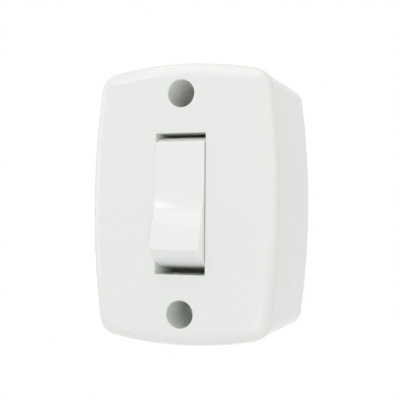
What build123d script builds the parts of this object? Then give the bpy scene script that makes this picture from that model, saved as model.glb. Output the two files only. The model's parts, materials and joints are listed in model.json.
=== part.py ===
from build123d import *
import os
from math import atan, cos, degrees, radians, sin, sqrt, tan

# A surface mounted light switch: a one-piece cover over a back plate, with a rocker that works a
# rocking contact inside. Lengths are in millimetres and angles in degrees.
# The wall is the plane Y = 0 and the front faces -Y, so a "level" is a distance from the wall.

# Case, measured at the wall
case_width = 52.6
case_depth = 40.0
side_bow = 3.1
top_bow = 3.6
corner_radius = 5.7
side_taper = 0.3
front_edge_radius = 4.0
wall = 2.2
front_wall = 2.5
inner_edge_radius = 1.8

# Screw access tubes through the cover, and the clearance holes for the wall screws
screw_spacing = 58.0
screw_end_margin = 8.8
access_radius = 3.65
tube_wall = 1.5
screw_hole_radius = 2.25
screw_seat = 3.0
hole_lip = 0.4

# Back plate
plate_thickness = 3.0
plate_gap = 0.2
ring_wall = 1.2
ring_height = 1.5
cable_entry_width = 26.0
cable_entry_height = 20.0
cable_entry_corner = 3.0

# Ribs, knock-outs and webs inside the cover
rib_width = 1.6
rib_height = 1.3
side_rib_rise = 12.0
end_rib_offset = 9.0
knockout_width = 8.0
knockout_height = 7.0
knockout_skin = 0.8
knockout_offset = 15.0
web_start = 8.0

# Slot for the rocker, and the collar behind it
slot_width = 13.8
slot_height = 37.2
slot_corner = 0.4
slot_lip = 0.3
guide_wall = 1.4
guide_depth = 14.0

# Rocker
pivot_depth = 10.5
rocker_tilt = 9.0
side_gap = 0.15
end_gap = 1.2
face_end_gap = 2.5
face_proud = 0.7
face_blend_radius = 25.0
rocker_edge_radius = 0.3
face_wall = 2.0
rocker_side_wall = 1.5
rocker_end_wall = 1.6
nose_radius = 18.0
skirt_depth = 3.5
skirt_shoulder = 0.6
shoulder_depth = 0.6
hub_radius = 3.3
pin_radius = 1.5
bore_clearance = 0.05
pin_clearance = 0.02

# Plunger and its spring, in the rocker's hollow stem
stem_radius = 3.0
stem_reach = 8.2
plunger_reach = 10.0
plunger_radius = 1.8
plunger_wall = 0.6
plunger_base = 1.5
plunger_length = 6.2
plunger_clearance = 0.08
spring_wire = 0.35
spring_turns = 8
spring_gap = 0.05
stem_roof = 0.7

# Rocking contact
seesaw_tilt = 8.0
seesaw_wing_angle = 19.8
seesaw_thickness = 0.8
seesaw_width = 6.0
seesaw_bend_radius = 0.6
plunger_play = 0.3
contact_inset = 2.0
contact_radius = 1.7
contact_head = 0.8
contact_rim = 0.2
contact_shank_radius = 0.9
contact_tail = 0.5
contact_gap = 0.08

# Terminals
strip_thickness = 1.0
strip_width = 6.0
strip_bend_radii = (0.5, 1.3)
leg_gap = 0.35
saddle_gap = 0.05
saddle_height = 2.4
saddle_half_width = 2.2
saddle_slope = 6.0
saddle_web = 1.0
tab_margin = 0.6
terminal_screw_radius = 1.7
terminal_screw_length = 5.0
terminal_head_radius = 3.0
terminal_head_height = 2.2
thread_clearance = 0.05
clamp_size = 7.0
clamp_thickness = 1.0
rivet_radius = 1.25
rivet_head_radius = 2.1
rivet_head = 0.6

# Mechanism body
body_side = 2.6
body_corner = 1.5
pocket_gap = 0.6
pocket_end_gap = 0.6
floor_thickness = 1.5
divider = 1.2
chamber_gap = 0.4
chamber_front_gap = 0.5
end_wall = 1.3
cap_wall = 1.5
pocket_rise = 0.8
strip_clearance = 0.1
ledge_depth = 0.8
insulator_thickness = 1.2
insulator_gap = 0.15
insulator_margin = 2.5
ear_thickness = 2.5
ear_radius = 3.4
ear_foot = 5.5
ear_gap = 0.4
body_end_gap = 0.95

# Fixing of the mechanism body to the cover
lug_thickness = 2.5
lug_gap = 0.3
boss_radius = 3.4
fixing_screw_radius = 1.4
fixing_screw_length = 9.0
fixing_head_radius = 2.8
fixing_head_height = 1.9
fixing_hole_clearance = 0.25
screw_slot_width = 0.8
screw_slot_depth = 0.9

# Levels and places that follow from the sizes above
case_height = screw_spacing + 2 * screw_end_margin
front_inside = case_depth - front_wall
taper_angle = degrees(atan(side_taper / case_depth))
tube_radius = access_radius + tube_wall
seat_level = plate_thickness + screw_seat
pivot_level = case_depth - pivot_depth
face_distance = pivot_depth + face_proud
face_reach = slot_height / 2 - face_end_gap
skirt_distance = slot_height / 2 - end_gap
rocker_half_width = slot_width / 2 - side_gap
stem_roof_reach = pin_radius + bore_clearance + stem_roof
fulcrum_reach = plunger_reach + plunger_play + seesaw_thickness
fulcrum_level = pivot_level - fulcrum_reach
strip_front = fulcrum_level - saddle_gap - saddle_height
floor_level = strip_front - strip_thickness
body_half_height = screw_spacing / 2 - tube_radius - body_end_gap
chamber_width = clamp_size + 2 * chamber_gap
chamber_start = body_half_height - end_wall - chamber_width
terminal_offset = chamber_start + chamber_width / 2
pocket_half_height = chamber_start - divider
rivet_offset = (saddle_half_width + pocket_half_height) / 2
seesaw_half_length = pocket_half_height - pocket_end_gap
contact_arm = seesaw_half_length - contact_inset
tab_reach = contact_radius + tab_margin
closed_wing_angle = seesaw_wing_angle - seesaw_tilt
contact_crown = contact_head - contact_rim
contact_dome = (contact_radius ** 2 + contact_crown ** 2) / (2 * contact_crown)
dome_rise = contact_dome - contact_head
contact_offset = contact_arm * cos(radians(closed_wing_angle)) - dome_rise * sin(radians(closed_wing_angle))
contact_level = (fulcrum_level + contact_arm * sin(radians(closed_wing_angle))
                 + dome_rise * cos(radians(closed_wing_angle)) - contact_dome)
tab_front = contact_level - contact_gap - contact_head
pocket_half_width = seesaw_width / 2 + pocket_gap
body_half_width = slot_width / 2 + ear_thickness + body_side
clamp_rear = floor_level - clamp_thickness
body_rear = clamp_rear - terminal_head_height - chamber_gap
chamber_front = clamp_rear + terminal_screw_length + chamber_front_gap
body_front = (fulcrum_level + seesaw_half_length * sin(radians(seesaw_wing_angle + seesaw_tilt))
              + seesaw_thickness + pocket_rise)
insulator_seat = body_rear + insulator_thickness
boss_offset = body_half_width + lug_gap + boss_radius
recess_half_width = body_half_width - insulator_margin
recess_half_height = pocket_half_height

side_view = Plane(origin=(0, 0, 0), x_dir=(0, -1, 0), z_dir=(-1, 0, 0))
pivot_view = Plane(origin=(0, -pivot_level, 0), x_dir=(0, -1, 0), z_dir=(-1, 0, 0))
fulcrum_view = Plane(origin=(0, -fulcrum_level, 0), x_dir=(0, -1, 0), z_dir=(-1, 0, 0))
pivot_axis = Axis((0, -pivot_level, 0), (1, 0, 0))
fulcrum_axis = Axis((0, -fulcrum_level, 0), (1, 0, 0))


def level(height):
    """Plane parallel to the wall, facing the room, with X and Z as its axes."""
    return Plane.XZ.offset(height)


def post(radius, low, high, x=0, z=0):
    """Round bar square to the wall, between two levels."""
    return extrude(level(low) * Pos(x, z) * Circle(radius), high - low)


def slab(width, height, low, high, x=0, z=0):
    """Rectangular block between two levels."""
    return extrude(level(low) * Pos(x, z) * Rectangle(width, height), high - low)


def across(profile, width, plane=side_view):
    """Side profile, drawn as level and height, pulled to a width that is centred on the part."""
    return extrude(plane * profile, width / 2, both=True)


def bent_strip(points, thickness, bend_radius):
    """Profile of sheet metal that lies to the left of a line with rounded bends."""
    line = FilletPolyline(*points, radius=bend_radius)
    return make_face(offset(line, thickness, side=Side.LEFT).edges())


def pair(solid):
    """A piece and its mirror image above and below the middle."""
    return solid + mirror(solid, Plane.XY)


def twins(solid):
    """A piece and its mirror image left and right of the middle."""
    return solid + mirror(solid, Plane.YZ)


def bowed_outline():
    """Front view of the case at the wall: four outward bows with rounded corners."""
    a, b = case_width / 2, case_height / 2
    tall = make_face([
        ThreePointArc((a - side_bow, -b), (a, 0), (a - side_bow, b)),
        Line((a - side_bow, b), (side_bow - a, b)),
        ThreePointArc((side_bow - a, b), (-a, 0), (side_bow - a, -b)),
        Line((side_bow - a, -b), (a - side_bow, -b)),
    ])
    wide = make_face([
        ThreePointArc((-a, b - top_bow), (0, b), (a, b - top_bow)),
        Line((a, b - top_bow), (a, top_bow - b)),
        ThreePointArc((a, top_bow - b), (0, -b), (-a, top_bow - b)),
        Line((-a, top_bow - b), (-a, b - top_bow)),
    ])
    bowed = tall & wide
    return fillet(bowed.vertices(), corner_radius)


def tapered(outline, low, high):
    """Outline at the wall carried forward between two levels, with the case's taper."""
    start = offset(outline, -low * tan(radians(taper_angle)))
    return extrude(level(low) * start, high - low, taper=taper_angle)


def front_edges(solid):
    """Edges round the face that lies furthest forward."""
    return solid.faces().sort_by(Axis.Y)[0].outer_wire().edges()


def front_openings(solid):
    """Outlines of the openings in the face that lies furthest forward, the longest first."""
    front = solid.faces().sort_by(Axis.Y)[0]
    return sorted(front.inner_wires(), key=lambda wire: -wire.length)


def cover_shell(outline):
    """Outer shell with a soft front edge, open at the wall."""
    outside = tapered(outline, 0, case_depth)
    outside = fillet(front_edges(outside), front_edge_radius)
    inside = tapered(offset(outline, -wall), 0, front_inside)
    inside = fillet(front_edges(inside), inner_edge_radius)
    return outside - inside


def cover_ribs(outline):
    """Ribs down the inside of the four walls, whose ends stop the back plate."""
    lining = (tapered(offset(outline, -wall / 2), plate_thickness, front_inside)
              - tapered(offset(outline, -wall - rib_height), plate_thickness, front_inside))
    side_ribs = pair(slab(case_width, rib_width, plate_thickness, front_inside, z=side_rib_rise))
    end_ribs = twins(slab(rib_width, case_height, plate_thickness, front_inside, x=end_rib_offset))
    return lining & (side_ribs + end_ribs)


def knockouts(outline):
    """Thin spots in the end walls that are broken out where a cable comes along the wall."""
    middle = plate_thickness + knockout_height / 2
    band = (tapered(offset(outline, -knockout_skin), plate_thickness, 2 * knockout_height)
            - tapered(offset(outline, -wall - rib_height), plate_thickness, 2 * knockout_height))
    windows = twins(slab(knockout_width, case_height, plate_thickness, plate_thickness + knockout_height,
                         x=knockout_offset))
    return band & windows


def guide_collar():
    """Collar behind the slot that guides the rocker, notched for the ears of the mechanism."""
    collar = slab(slot_width + 2 * guide_wall, slot_height + 2 * guide_wall, case_depth - guide_depth,
                  front_inside + front_wall / 2)
    notch = slab(slot_width + 3 * guide_wall, 2 * (ear_foot + ear_gap), case_depth - guide_depth,
                 pivot_level + ear_radius + ear_gap)
    return collar - notch


def make_cover():
    outline = bowed_outline()
    rise = screw_spacing / 2
    cover = cover_shell(outline) + cover_ribs(outline) + guide_collar()
    cover += pair(post(tube_radius, plate_thickness, front_inside + front_wall / 2, z=rise))
    web_top = case_height / 2 - wall / 2 - side_taper
    cover += pair(slab(rib_width, web_top - rise, web_start, front_inside, z=(web_top + rise) / 2))
    cover += twins(post(boss_radius, body_front, front_inside + front_wall / 2, x=boss_offset))
    cover -= knockouts(outline)
    cover -= pair(post(access_radius, seat_level, case_depth + 1, z=rise))
    cover -= pair(post(screw_hole_radius, 0, seat_level + 1, z=rise))
    pilot_end = body_front - lug_thickness + fixing_screw_length + fixing_hole_clearance
    cover -= twins(post(fixing_screw_radius + thread_clearance, body_front, pilot_end, x=boss_offset))
    slot = RectangleRounded(slot_width, slot_height, slot_corner)
    cover -= extrude(level(case_depth - guide_depth) * slot, guide_depth + 1)
    cover = fillet(front_openings(cover)[0].edges(), slot_lip)
    hole_edges = [edge for wire in front_openings(cover)[1:] for edge in wire.edges()]
    return fillet(hole_edges, hole_lip)


def make_back_plate():
    outline = offset(bowed_outline(), -wall - plate_gap)
    plate = tapered(outline, 0, plate_thickness)
    rise = screw_spacing / 2
    ring_outer = tube_radius + plate_gap + ring_wall
    rings = pair(post(ring_outer, plate_thickness, plate_thickness + ring_height, z=rise))
    bounds = tapered(offset(outline, -rib_height), 0, plate_thickness + ring_height)
    socket = post(tube_radius + plate_gap, plate_thickness, 2 * plate_thickness, z=rise)
    plate += (rings & bounds) - pair(socket)
    plate -= pair(post(screw_hole_radius, -1, plate_thickness + 1, z=rise))
    entry = RectangleRounded(cable_entry_width, cable_entry_height, cable_entry_corner)
    return plate - extrude(level(-1) * entry, plate_thickness + 2)


def rocker_profile(face_level, reach, skirt, nose, back):
    """Side view of the rocker about its pivot: a shallow concave face, round noses and straight skirts."""
    tilt = radians(rocker_tilt)
    vertex = Vector(face_level / cos(tilt), 0)
    corner = Vector(face_level * cos(tilt) + reach * sin(tilt), reach * cos(tilt) - face_level * sin(tilt))
    drop = skirt - corner.Y
    shoulder = Vector(corner.X - sqrt(2 * nose * drop - drop ** 2), skirt)
    nose_arc = TangentArc(shoulder, corner, tangent=(1, 0))
    half = [Line(vertex, corner), nose_arc, *Polyline(shoulder, *back).edges()]
    other_half = [mirror(edge, Plane.XZ) for edge in half]
    profile = make_face(half + other_half + [Line(back[-1], (back[-1][0], -back[-1][1]))])
    dip = profile.vertices().sort_by_distance(vertex)[0]
    return fillet(dip, face_blend_radius)


def at_rest(solid):
    """Turns a piece of the rocker from its middle position to the rest position."""
    return solid.rotate(pivot_axis, -rocker_tilt)


def make_rocker():
    inner = skirt_distance - rocker_end_wall
    back = [(-skirt_depth, skirt_distance), (-skirt_depth, inner),
            (-shoulder_depth, inner - skirt_shoulder), (0, hub_radius)]
    skin = across(rocker_profile(face_distance, face_reach, skirt_distance, nose_radius, back),
                  2 * rocker_half_width, pivot_view)
    sides = [edge for edge in skin.edges() if abs(edge.center().X) > rocker_side_wall
             and edge.center().Y < -pivot_level]
    corners = skin.edges().filter_by(Axis.X).sort_by(Axis.Y)[:2]
    skin = fillet(sides + corners, rocker_edge_radius)
    hollow = rocker_profile(face_distance - face_wall, face_reach - rocker_end_wall, inner,
                            nose_radius - rocker_end_wall, [(-2 * skirt_depth, inner)])
    rocker = skin - across(hollow, 2 * (rocker_half_width - rocker_side_wall), pivot_view)
    rib = slab(rib_width, 2 * stem_reach, pivot_level, pivot_level + face_distance - face_wall / 2)
    rocker += rib + across(Circle(hub_radius), 2 * rocker_half_width, pivot_view)
    rocker += post(stem_radius, pivot_level - stem_reach, pivot_level)
    rocker -= across(Circle(pin_radius + bore_clearance), slot_width, pivot_view)
    bore_radius = plunger_radius + plunger_clearance
    rocker -= post(bore_radius, pivot_level - 2 * stem_reach, pivot_level - stem_roof_reach)
    return at_rest(rocker)


def make_pivot_pin():
    pin = across(Circle(pin_radius), slot_width + 2 * ear_thickness, pivot_view)
    ends = pin.edges().filter_by(GeomType.CIRCLE)
    return chamfer(ends, pin_radius / 6)


def make_plunger():
    """Cup with a round nose that slides in the rocker's stem."""
    nose = -plunger_reach
    tail = nose + plunger_length
    inner = plunger_radius - plunger_wall
    base = nose + plunger_base
    profile = make_face([
        Line((nose, 0), (base, 0)),
        Line((base, 0), (base, inner)),
        Line((base, inner), (tail, inner)),
        Line((tail, inner), (tail, plunger_radius)),
        Line((tail, plunger_radius), (nose + plunger_radius, plunger_radius)),
        CenterArc((nose + plunger_radius, 0), plunger_radius, 90, 90),
    ])
    plunger = revolve(pivot_view * profile, Axis((0, -pivot_level, 0), (0, -1, 0)))
    return at_rest(plunger)


def make_plunger_spring():
    """Compression spring between the plunger's cup and the roof of the stem's bore."""
    low = pivot_level - plunger_reach + plunger_base + spring_gap + spring_wire / 2
    high = pivot_level - stem_roof_reach - spring_gap - spring_wire / 2
    coil_radius = plunger_radius - plunger_wall - plunger_clearance - spring_wire / 2
    length = high - low
    coil = Helix(length / spring_turns, length, coil_radius)
    section = Plane(origin=coil @ 0, z_dir=coil % 0) * Circle(spring_wire / 2)
    spring = sweep(section, path=coil)
    return at_rest(level(low).location * spring)


def revolved_rivet(head_radius, head, dome_radius, shank_radius, grip, tail):
    """Rivet along Z: the head's seat is at zero with its crown above, and the shank hangs below."""
    tail_radius = (head_radius + shank_radius) / 2
    crown = head - dome_radius + (dome_radius ** 2 - head_radius ** 2) ** 0.5
    profile = make_face([
        Line((0, head), (0, -grip - tail)),
        Line((0, -grip - tail), (tail_radius, -grip - tail)),
        Line((tail_radius, -grip - tail), (tail_radius, -grip)),
        Line((tail_radius, -grip), (shank_radius, -grip)),
        Line((shank_radius, -grip), (shank_radius, 0)),
        Line((shank_radius, 0), (head_radius, 0)),
        Line((head_radius, 0), (head_radius, crown)),
        RadiusArc((head_radius, crown), (0, head), -dome_radius),
    ])
    return revolve(Plane.XZ * profile, Axis.Z)


def facing(height, x, z):
    """Frame whose Z points to the room, at a level and a place on the front view."""
    return Plane(origin=(x, -height, z), x_dir=(1, 0, 0), z_dir=(0, -1, 0))


def closed(solid):
    """Turns a piece of the rocking contact from its middle position to the closed one."""
    return solid.rotate(fulcrum_axis, seesaw_tilt)


def wing_plane():
    """Frame on the rear of the lower wing where the moving contact sits, Z pointing out of the rear."""
    turn = radians(seesaw_wing_angle)
    origin = (0, -fulcrum_level - contact_arm * sin(turn), -contact_arm * cos(turn))
    return Plane(origin=origin, x_dir=(1, 0, 0), z_dir=(0, cos(turn), -sin(turn)))


def make_seesaw():
    """Brass rocking contact, folded to a shallow V that opens to the room."""
    turn = radians(seesaw_wing_angle)
    reach = Vector(seesaw_half_length * sin(turn), seesaw_half_length * cos(turn))
    points = [(reach.X, reach.Y), (0, 0), (reach.X, -reach.Y)]
    blade = across(bent_strip(points, seesaw_thickness, seesaw_bend_radius + seesaw_thickness),
                   seesaw_width, fulcrum_view)
    hole = wing_plane() * Cylinder(contact_shank_radius, 4 * seesaw_thickness)
    return closed(blade - hole)


def make_moving_contact():
    rivet = revolved_rivet(contact_radius, contact_head, contact_dome, contact_shank_radius,
                           seesaw_thickness, contact_tail)
    return closed(wing_plane().location * rivet)


def make_fixed_contact():
    rivet = revolved_rivet(contact_radius, contact_head, 4 * contact_dome, contact_shank_radius,
                           strip_thickness, contact_tail)
    return facing(tab_front, 0, -contact_offset).location * rivet


def make_common_terminal():
    """Strip with two notched tabs, which carry the rocking contact, and a tapped end."""
    strip_end = terminal_offset + strip_width / 2
    length = strip_end + saddle_half_width
    strip = slab(strip_width, length, floor_level, strip_front, z=strip_end - length / 2)
    notch = saddle_half_width * tan(radians(saddle_slope))
    top = strip_front + saddle_height
    outline = Polyline((floor_level, -saddle_half_width), (top + notch, -saddle_half_width), (top, 0),
                       (top + notch, saddle_half_width), (floor_level, saddle_half_width), close=True)
    tab = make_face(outline)
    strip += across(tab, strip_width) - across(tab, strip_width - 2 * saddle_web)
    strip -= post(rivet_radius, 0, case_depth, z=rivet_offset)
    return strip - post(terminal_screw_radius + thread_clearance, 0, case_depth, z=terminal_offset)


def make_switched_terminal():
    """Strip that steps down from the fixed contact to a tapped end like the other one's."""
    strip_end = terminal_offset + strip_width / 2
    leg = chamber_start + leg_gap + strip_thickness
    points = [(strip_front, -strip_end), (strip_front, -leg), (tab_front, -leg),
              (tab_front, -contact_offset + tab_reach)]
    profile = bent_strip(points, strip_thickness, strip_bend_radii)
    strip = across(profile, strip_width)
    strip -= post(contact_shank_radius, 0, case_depth, z=-contact_offset)
    return strip - post(terminal_screw_radius + thread_clearance, 0, floor_level + 2 * strip_thickness,
                        z=-terminal_offset)


def make_common_rivet():
    """Rivet that holds the common terminal to the floor of the mechanism body."""
    rivet = revolved_rivet(rivet_head_radius, rivet_head, 3 * rivet_head_radius, rivet_radius - pin_clearance,
                           strip_thickness + floor_thickness, rivet_head)
    return facing(strip_front, 0, rivet_offset).location * rivet


def slotted_screw(head_radius, head_height, shank_radius, length):
    """Round-headed screw along Z, with the head above zero and a plain shank below."""
    head = Cylinder(head_radius, head_height, align=(Align.CENTER, Align.CENTER, Align.MIN))
    head = fillet(head.edges().sort_by(Axis.Z)[-1], head_height / 2)
    shank = Cylinder(shank_radius, length, align=(Align.CENTER, Align.CENTER, Align.MAX))
    shank = chamfer(shank.edges().sort_by(Axis.Z)[0], shank_radius / 3)
    groove = Pos(0, 0, head_height) * Box(3 * head_radius, screw_slot_width, 2 * screw_slot_depth)
    return head + shank - groove


def facing_wall(height, x, z):
    """Frame whose Z points to the wall, at a level and a place on the front view."""
    return Plane(origin=(x, -height, z), x_dir=(1, 0, 0), z_dir=(0, 1, 0))


def make_terminal_screw(side):
    screw = slotted_screw(terminal_head_radius, terminal_head_height, terminal_screw_radius,
                          terminal_screw_length)
    return facing_wall(clamp_rear, 0, side * terminal_offset).location * screw


def make_clamp_plate(side):
    """Square plate under a terminal screw's head, which presses the wire on the strip."""
    plate = extrude(level(clamp_rear) * Pos(0, side * terminal_offset)
                    * RectangleRounded(clamp_size, clamp_size, clamp_thickness), clamp_thickness)
    return plate - post(terminal_screw_radius + thread_clearance, 0, case_depth, z=side * terminal_offset)


def make_fixing_screw(side):
    screw = slotted_screw(fixing_head_radius, fixing_head_height, fixing_screw_radius, fixing_screw_length)
    return facing_wall(body_front - lug_thickness, side * boss_offset, 0).location * screw


def make_insulator():
    """Plate that closes the recess behind the common terminal's rivet."""
    size = RectangleRounded(2 * (recess_half_width - insulator_gap), 2 * (recess_half_height - insulator_gap),
                            body_corner)
    return extrude(level(body_rear) * size, insulator_thickness)


def body_block():
    """Moulded block: a low base, a higher middle round the contacts, and two lugs."""
    base = RectangleRounded(2 * body_half_width, 2 * body_half_height, body_corner)
    block = extrude(level(body_rear) * base, chamber_front + cap_wall - body_rear)
    block += slab(2 * body_half_width, 2 * chamber_start, body_rear, body_front)
    lugs = SlotCenterToCenter(2 * boss_offset, 2 * boss_radius)
    return block + extrude(level(body_front - lug_thickness) * lugs, lug_thickness)


def body_ears():
    """Two ears that carry the rocker's pin."""
    ring = Circle(ear_radius)
    foot = Pos(body_front - pivot_level - lug_thickness, 0) * Rectangle(lug_thickness, 2 * ear_foot)
    profile = make_hull(ring.edges() + foot.edges())
    width = slot_width + 2 * ear_thickness
    return across(profile, width, pivot_view) - across(profile, slot_width, pivot_view)


def terminal_chamber():
    """Room for one terminal, open to the wall and to both sides."""
    profile = Pos((body_rear + chamber_front) / 2 - 1, terminal_offset) * Rectangle(
        chamber_front - body_rear + 2, chamber_width)
    return across(profile, 3 * body_half_width)


def make_mechanism_body():
    body = body_block() + body_ears()
    body -= slab(2 * pocket_half_width, 2 * pocket_half_height, floor_level, body_front + 1)
    body -= pair(terminal_chamber())
    ledge_low = contact_offset - tab_reach
    ledge_middle = (ledge_low + pocket_half_height) / 2
    ledge_front = tab_front - strip_thickness
    ledge = slab(2 * pocket_half_width, pocket_half_height - ledge_low, floor_level, ledge_front,
                 z=-ledge_middle)
    body += ledge - post(contact_radius, ledge_front - ledge_depth, tab_front, z=-contact_offset)
    slit = strip_width + 2 * strip_clearance
    body -= slab(slit, 2 * divider, floor_level, strip_front + strip_clearance, z=chamber_start - divider / 2)
    body -= slab(slit, 2 * divider, ledge_front, tab_front + strip_clearance,
                 z=-chamber_start + divider / 2)
    body -= slab(2 * recess_half_width, 2 * recess_half_height, body_rear - 1, insulator_seat)
    body -= slab(2 * (recess_half_width - divider), 2 * (recess_half_height - divider), body_rear - 1,
                 floor_level - floor_thickness)
    body -= post(rivet_radius, 0, case_depth, z=rivet_offset)
    body -= across(Circle(pin_radius + pin_clearance), 2 * case_width, pivot_view)
    return body - twins(post(fixing_screw_radius + fixing_hole_clearance, 0, case_depth, x=boss_offset))


nodes = {
    "cover": make_cover(),
    "back_plate": make_back_plate(),
    "mechanism_body": make_mechanism_body(),
    "pivot_pin": make_pivot_pin(),
    "rocker": make_rocker(),
    "plunger": make_plunger(),
    "plunger_spring": make_plunger_spring(),
    "seesaw": make_seesaw(),
    "moving_contact": make_moving_contact(),
    "fixed_contact": make_fixed_contact(),
    "common_terminal": make_common_terminal(),
    "switched_terminal": make_switched_terminal(),
    "common_rivet": make_common_rivet(),
    "insulator": make_insulator(),
    "common_screw": make_terminal_screw(1),
    "switched_screw": make_terminal_screw(-1),
    "common_clamp_plate": make_clamp_plate(1),
    "switched_clamp_plate": make_clamp_plate(-1),
    "fixing_screw_left": make_fixing_screw(-1),
    "fixing_screw_right": make_fixing_screw(1),
}

os.makedirs("parts", exist_ok=True)
for name, shape in nodes.items():
    export_step(shape, f"parts/{name}.step")
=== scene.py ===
import bpy
import json
import math
from mathutils import Matrix, Vector


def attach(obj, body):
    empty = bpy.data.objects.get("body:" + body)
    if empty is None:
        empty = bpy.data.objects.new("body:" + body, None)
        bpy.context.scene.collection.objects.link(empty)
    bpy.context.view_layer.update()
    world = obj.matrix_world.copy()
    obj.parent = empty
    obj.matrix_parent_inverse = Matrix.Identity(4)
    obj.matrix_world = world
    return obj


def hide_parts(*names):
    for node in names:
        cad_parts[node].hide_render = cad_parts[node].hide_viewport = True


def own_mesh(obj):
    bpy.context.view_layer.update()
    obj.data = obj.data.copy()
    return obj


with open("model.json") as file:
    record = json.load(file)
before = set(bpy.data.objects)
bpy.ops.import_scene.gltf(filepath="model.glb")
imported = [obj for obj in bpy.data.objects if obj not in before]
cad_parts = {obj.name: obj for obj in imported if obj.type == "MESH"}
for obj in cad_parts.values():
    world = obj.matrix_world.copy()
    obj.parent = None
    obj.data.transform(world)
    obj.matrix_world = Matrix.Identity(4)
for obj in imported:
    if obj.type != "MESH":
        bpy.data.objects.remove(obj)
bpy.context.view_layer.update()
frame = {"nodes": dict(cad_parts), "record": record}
scene = bpy.context.scene

WHITE = (1.0, 1.0, 1.0)


def outward(azimuth, elevation):
    """Unit vector away from the switch: azimuth 0 is straight out from its front and grows towards +X."""
    return Vector((math.sin(azimuth) * math.cos(elevation), -math.cos(azimuth) * math.cos(elevation),
                   math.sin(elevation)))


# Camera, fitted to the photograph's outline. It looks at AIM, a point 20 mm in front of the wall face, which
# the lens shift brings to AIM_PIXEL.

AIM = Vector((0.0, -0.020, 0.0))
DISTANCE = 0.245688
AZIMUTH, ELEVATION, ROLL = (math.radians(v) for v in (17.837, -0.960, 0.436))
FOCAL_PIXELS = 865.762
AIM_PIXEL = (203.197, 205.133)
FRAME_PIXELS = 400
SENSOR_MM = 36.0
CLIP_START = 0.01


def make_camera():
    out = outward(AZIMUTH, ELEVATION)
    flat_right = Vector((math.cos(AZIMUTH), math.sin(AZIMUTH), 0.0))
    flat_up = out.cross(flat_right)
    right = flat_right * math.cos(ROLL) + flat_up * math.sin(ROLL)
    up = out.cross(right)
    data = bpy.data.cameras.new("camera")
    data.sensor_width = SENSOR_MM
    data.lens = FOCAL_PIXELS * SENSOR_MM / FRAME_PIXELS
    data.shift_x = (FRAME_PIXELS / 2 - AIM_PIXEL[0]) / FRAME_PIXELS
    data.shift_y = (AIM_PIXEL[1] - FRAME_PIXELS / 2) / FRAME_PIXELS
    data.clip_start = CLIP_START
    camera = bpy.data.objects.new("camera", data)
    turn = Matrix((right, up, out)).transposed().to_4x4()
    camera.matrix_world = Matrix.Translation(AIM + out * DISTANCE) @ turn
    scene.collection.objects.link(camera)
    scene.camera = camera


# Node helpers. All but the first add one node and give back its output.

def new_material(name):
    material = bpy.data.materials.new(name)
    material.use_nodes = True
    nodes, links = material.node_tree.nodes, material.node_tree.links
    return material, nodes, links, nodes["Principled BSDF"]


def noise(nodes, links, coords, scale, detail):
    texture = nodes.new("ShaderNodeTexNoise")
    texture.inputs["Scale"].default_value = scale
    texture.inputs["Detail"].default_value = detail
    links.new(coords, texture.inputs["Vector"])
    return texture.outputs["Fac"]


def remap(nodes, links, value, source, target):
    """A value brought from one range of numbers to another, and held inside it."""
    change = nodes.new("ShaderNodeMapRange")
    change.inputs["From Min"].default_value, change.inputs["From Max"].default_value = source
    change.inputs["To Min"].default_value, change.inputs["To Max"].default_value = target
    links.new(value, change.inputs["Value"])
    return change.outputs["Result"]


def combine(nodes, links, operation, first, second):
    maths = nodes.new("ShaderNodeMath")
    maths.operation = operation
    links.new(first, maths.inputs[0])
    links.new(second, maths.inputs[1])
    return maths.outputs[0]


def tint(nodes, links, value, dark, light):
    mix = nodes.new("ShaderNodeMix")
    mix.data_type = "RGBA"
    links.new(value, mix.inputs["Factor"])
    mix.inputs["A"].default_value = (*dark, 1.0)
    mix.inputs["B"].default_value = (*light, 1.0)
    return mix.outputs["Result"]


def bump(nodes, links, height, distance, strength):
    relief = nodes.new("ShaderNodeBump")
    relief.inputs["Distance"].default_value = distance
    relief.inputs["Strength"].default_value = strength
    links.new(height, relief.inputs["Height"])
    return relief.outputs["Normal"]


# Materials. Noise scales are in waves per metre, and most of the noise's values lie in NOISE_SPAN.

NOISE_SPAN = (0.3, 0.7)
MICRON = 0.000001
CLOUD_SCALE, CLOUD_DETAIL = 45.0, 4.0
SHEEN_SCALE, SHEEN_DETAIL = 160.0, 3.0
SKIN_DETAIL, SKIN_STRENGTH = 2.0, 1.0
TARNISH_SCALE, TARNISH_DETAIL = 220.0, 3.0
LINE_DETAIL, LINE_STRENGTH, LINE_MICRONS = 5.0, 0.6, 20.0
DRAWN_LINES = (1.0, 1.0, 30.0)
EVEN_GRAIN = (1.0, 1.0, 1.0)


def plastic(name, dark, light, rough, grain, microns, gloss=0.5):
    """Moulded plastic: a faint cloud in its colour, an uneven sheen and a fine skin."""
    material, nodes, links, shader = new_material(name)
    coords = nodes.new("ShaderNodeTexCoord").outputs["Object"]
    cloud = noise(nodes, links, coords, CLOUD_SCALE, CLOUD_DETAIL)
    links.new(tint(nodes, links, cloud, dark, light), shader.inputs["Base Color"])
    sheen = noise(nodes, links, coords, SHEEN_SCALE, SHEEN_DETAIL)
    links.new(remap(nodes, links, sheen, NOISE_SPAN, rough), shader.inputs["Roughness"])
    skin = noise(nodes, links, coords, grain, SKIN_DETAIL)
    links.new(bump(nodes, links, skin, microns * MICRON, SKIN_STRENGTH), shader.inputs["Normal"])
    shader.inputs["Specular IOR Level"].default_value = gloss
    return material


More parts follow.
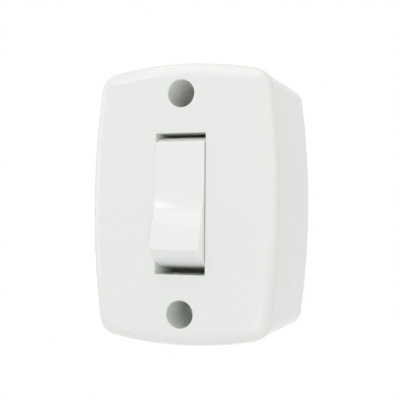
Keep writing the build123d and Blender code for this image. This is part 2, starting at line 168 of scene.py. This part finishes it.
def metal(name, dark, light, rough, grain, stretch):
    """Rolled or drawn metal: fine lines, closest along the axis that stretch raises, and a cloudy tone."""
    material, nodes, links, shader = new_material(name)
    coords = nodes.new("ShaderNodeTexCoord").outputs["Object"]
    squeeze = nodes.new("ShaderNodeMapping")
    squeeze.inputs["Scale"].default_value = stretch
    links.new(coords, squeeze.inputs["Vector"])
    lines = noise(nodes, links, squeeze.outputs["Vector"], grain, LINE_DETAIL)
    tarnish = noise(nodes, links, coords, TARNISH_SCALE, TARNISH_DETAIL)
    links.new(tint(nodes, links, tarnish, dark, light), shader.inputs["Base Color"])
    links.new(remap(nodes, links, lines, NOISE_SPAN, rough), shader.inputs["Roughness"])
    links.new(bump(nodes, links, lines, LINE_MICRONS * MICRON, LINE_STRENGTH), shader.inputs["Normal"])
    shader.inputs["Metallic"].default_value = 1.0
    return material


# One finish for each material slot of the record
FINISHES = {
    "cover_plastic": plastic(
        "white_cover_plastic", dark=(0.892, 0.909, 0.882), light=(0.898, 0.915, 0.888),
        rough=(0.15, 0.19), grain=1500.0, microns=1.0),
    "rocker_plastic": plastic(
        "white_rocker_plastic", dark=(0.918, 0.935, 0.913), light=(0.923, 0.940, 0.918),
        rough=(0.04, 0.06), grain=1100.0, microns=1.0, gloss=0.55),
    "plate_plastic": plastic(
        "white_plate_plastic", dark=(0.80, 0.81, 0.78), light=(0.83, 0.84, 0.81),
        rough=(0.40, 0.52), grain=1900.0, microns=4.0),
    "body_plastic": plastic(
        "cream_body_plastic", dark=(0.70, 0.68, 0.60), light=(0.75, 0.73, 0.65),
        rough=(0.35, 0.48), grain=1300.0, microns=4.0),
    "plunger_plastic": plastic(
        "plunger_plastic", dark=(0.78, 0.78, 0.75), light=(0.82, 0.82, 0.79),
        rough=(0.30, 0.42), grain=1700.0, microns=3.0),
    "insulator_board": plastic(
        "brown_board", dark=(0.13, 0.055, 0.025), light=(0.19, 0.085, 0.038),
        rough=(0.45, 0.62), grain=2600.0, microns=10.0),
    "terminal_brass": metal(
        "terminal_brass", dark=(0.62, 0.42, 0.15), light=(0.74, 0.52, 0.21),
        rough=(0.22, 0.40), grain=900.0, stretch=DRAWN_LINES),
    "contact_silver": metal(
        "contact_silver", dark=(0.70, 0.69, 0.66), light=(0.80, 0.79, 0.77),
        rough=(0.22, 0.36), grain=1200.0, stretch=EVEN_GRAIN),
    "plated_steel": metal(
        "plated_steel", dark=(0.50, 0.50, 0.49), light=(0.62, 0.62, 0.60),
        rough=(0.25, 0.42), grain=1000.0, stretch=DRAWN_LINES),
    "spring_steel": metal(
        "spring_steel", dark=(0.36, 0.36, 0.37), light=(0.46, 0.46, 0.47),
        rough=(0.25, 0.40), grain=1400.0, stretch=DRAWN_LINES),
}


def dress_nodes():
    slots = {row["node"]: row["material_slot"] for row in frame["record"]["subparts"]}
    for name, obj in frame["nodes"].items():
        obj.data.materials.clear()
        obj.data.materials.append(FINISHES[slots[name]])


# Spring

def shortening_coil():
    """A coil in place of the plunger's spring, carried along by the plunger."""
    coil = bpy.data.objects.new("plunger_coil", frame["nodes"]["plunger_spring"].data.copy())
    scene.collection.objects.link(coil)
    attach(coil, "plunger")
    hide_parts("plunger_spring")
    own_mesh(coil)


# Stage and light

FLOOR_DROP = 0.600
FLOOR_HALF = 1.8
FLOOR_TONE = 0.9
FLOOR_ROUGHNESS = 0.9
FADE_START, FADE_END = FLOOR_HALF * 0.2, FLOOR_HALF * 0.9
MIDDLE_LIFT, EDGE_LIFT = 0.27, 0.56
CORNER_SIGNS = ((-1, -1), (1, -1), (1, 1), (-1, 1))
AMBIENT = 0.465


def pale_floor():
    """Plain pale floor below the object: it keeps the shadow and turns to plain white towards its edges."""
    material, nodes, links, shader = new_material("pale_floor")
    shader.inputs["Base Color"].default_value = (FLOOR_TONE, FLOOR_TONE, FLOOR_TONE, 1.0)
    shader.inputs["Roughness"].default_value = FLOOR_ROUGHNESS
    path = nodes.new("ShaderNodeLightPath")
    seen = combine(nodes, links, "MAXIMUM", path.outputs["Is Camera Ray"], path.outputs["Is Glossy Ray"])
    reach = nodes.new("ShaderNodeVectorMath")
    reach.operation = "LENGTH"
    links.new(nodes.new("ShaderNodeTexCoord").outputs["Object"], reach.inputs[0])
    fade = remap(nodes, links, reach.outputs["Value"], (FADE_START, FADE_END), (MIDDLE_LIFT, EDGE_LIFT))
    shader.inputs["Emission Color"].default_value = (*WHITE, 1.0)
    links.new(combine(nodes, links, "MULTIPLY", seen, fade), shader.inputs["Emission Strength"])
    mesh = bpy.data.meshes.new("floor")
    mesh.from_pydata([(x * FLOOR_HALF, y * FLOOR_HALF, 0.0) for x, y in CORNER_SIGNS], [], [(0, 1, 2, 3)])
    mesh.materials.append(material)
    floor = bpy.data.objects.new("floor", mesh)
    floor.location = (0.0, 0.0, -FLOOR_DROP)
    scene.collection.objects.link(floor)


def white_world():
    """Even light all round at the ambient strength; the camera and reflections see plain white."""
    world = bpy.data.worlds.new("studio")
    world.use_nodes = True
    nodes, links = world.node_tree.nodes, world.node_tree.links
    background = nodes["Background"]
    background.inputs["Color"].default_value = (*WHITE, 1.0)
    path = nodes.new("ShaderNodeLightPath")
    seen = combine(nodes, links, "MAXIMUM", path.outputs["Is Camera Ray"], path.outputs["Is Glossy Ray"])
    shown = combine(nodes, links, "MAXIMUM", seen, path.outputs["Is Transmission Ray"])
    strength = remap(nodes, links, shown, (0.0, 1.0), (AMBIENT, 1.0))
    links.new(strength, background.inputs["Strength"])
    scene.world = world


# Area lamps, all turned towards AIM: name, azimuth and elevation in degrees, distance and size in metres,
# watts and colour. The small window gives the wedge of light on the rocker's bend. The lamp behind stays
# well to one side, so that the right side doesn't mirror it towards the camera.
LAMPS = (
    ("above", 0.0, 80.0, 1.2, (1.2, 1.2), 4.20, WHITE),
    ("left", -75.0, 10.0, 1.2, (0.8, 0.8), 2.15, WHITE),
    ("front_right", 30.0, 4.0, 1.2, (1.1, 0.9), 0.80, WHITE),
    ("right", 80.0, 12.0, 1.2, (0.8, 0.8), 1.62, (1.0, 0.99, 0.90)),
    ("low", 17.0, -22.0, 1.05, (0.7, 0.3), 1.80, WHITE),
    ("near_up", -12.0, 45.0, 0.42, (0.3, 0.2), 0.17, WHITE),
    ("behind", 207.0, 5.0, 1.2, (0.9, 0.9), 3.50, WHITE),
    ("window", -29.5, 25.2, 1.2, (0.27, 0.20), 0.45, WHITE),
)


def soft_box(name, azimuth, elevation, distance, size, watts, colour):
    out = outward(math.radians(azimuth), math.radians(elevation))
    data = bpy.data.lights.new(name, "AREA")
    data.shape = "RECTANGLE"
    data.size, data.size_y = size
    data.energy = watts
    data.color = colour
    lamp = bpy.data.objects.new(name, data)
    lamp.location = AIM + out * distance
    lamp.rotation_euler = out.to_track_quat("Z", "Y").to_euler()
    scene.collection.objects.link(lamp)


# White plastic passes light on many times inside its holes and gaps
MAX_BOUNCES, DIFFUSE_BOUNCES = 16, 12

make_camera()
dress_nodes()
shortening_coil()
pale_floor()
white_world()
for lamp_row in LAMPS:
    soft_box(*lamp_row)
scene.cycles.max_bounces = MAX_BOUNCES
scene.cycles.diffuse_bounces = DIFFUSE_BOUNCES

scene.view_settings.view_transform = "Standard"
